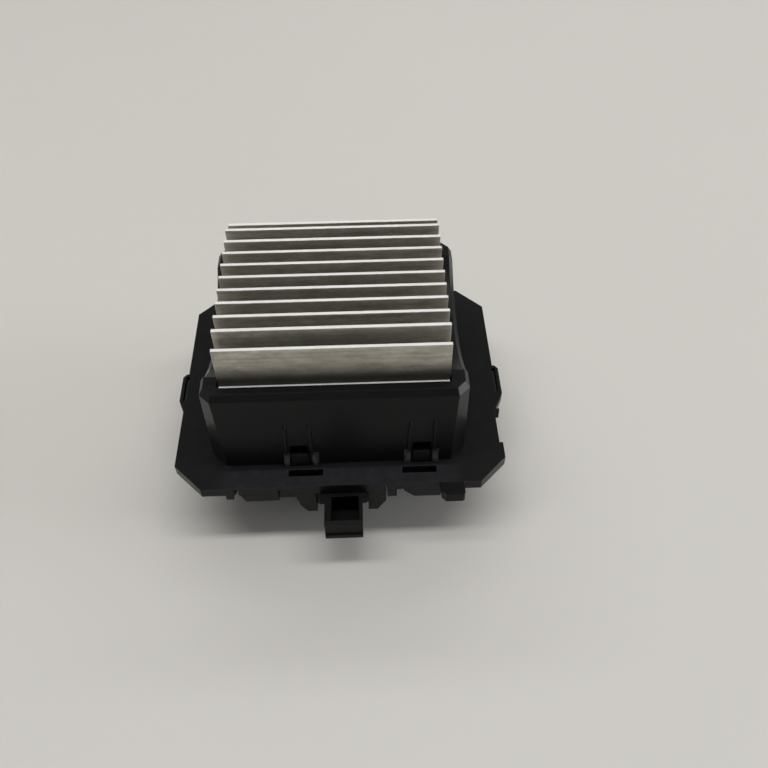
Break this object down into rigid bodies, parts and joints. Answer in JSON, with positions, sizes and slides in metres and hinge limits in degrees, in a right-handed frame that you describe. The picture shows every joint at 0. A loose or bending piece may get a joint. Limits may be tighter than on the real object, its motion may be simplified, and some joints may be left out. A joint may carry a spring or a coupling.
{
  "type": "blower motor resistor",
  "caption": "Blower motor resistor with an aluminium fin block in a flanged black collar, a clipped cover with a connector socket below and a hollow push latch in front.",
  "frame": {"origin": "centre of the fin block on the plane of the flange's upper face, which seats against the air duct", "axes": "+Z towards the fin tips, +X along the fins, -Y towards the latch"},
  "size_m": [0.0868, 0.0773, 0.0594],
  "materials": {
    "frame_plastic": "fine moulded grain, slightly shiny",
    "cover_plastic": "fine moulded grain",
    "drawn_aluminium": "extruded, fine lines along the fins",
    "seal_rubber": "matt",
    "screw_steel": "zinc plated",
    "spring_steel": "rolled sheet",
    "board": "solder mask",
    "tinned_metal": "tin plated",
    "moulded_case": "moulded epoxy",
    "thermal_pad": "soft silicone",
    "shunt_metal": "satin",
    "can_metal": "smooth sleeve",
    "chip_black": "glazed",
    "chip_brown": "fired ceramic",
    "fuse_case": "smooth ceramic"
  },
  "bodies": {
    "root": {"frame": "frame_plastic", "heatsink": "drawn_aluminium", "heatsink_seal": "seal_rubber", "heatsink_screws": "screw_steel", "cover": "cover_plastic", "pcb": "board", "pcb_screws": "screw_steel", "transistor_frames": "tinned_metal", "transistor_bodies": "moulded_case", "insulator_pads": "thermal_pad", "clamp_spring": "spring_steel", "clamp_screw": "screw_steel", "power_blades": "tinned_metal", "signal_pins": "tinned_metal", "shunt": "shunt_metal", "capacitor_can": "can_metal", "capacitor_base": "seal_rubber", "thermal_fuse": "fuse_case", "control_ic_body": "moulded_case", "control_ic_leads": "tinned_metal", "chip_resistors": "chip_black", "chip_capacitors": "chip_brown", "diode_body": "moulded_case", "diode_leads": "tinned_metal"}
  },
  "joints": []
}
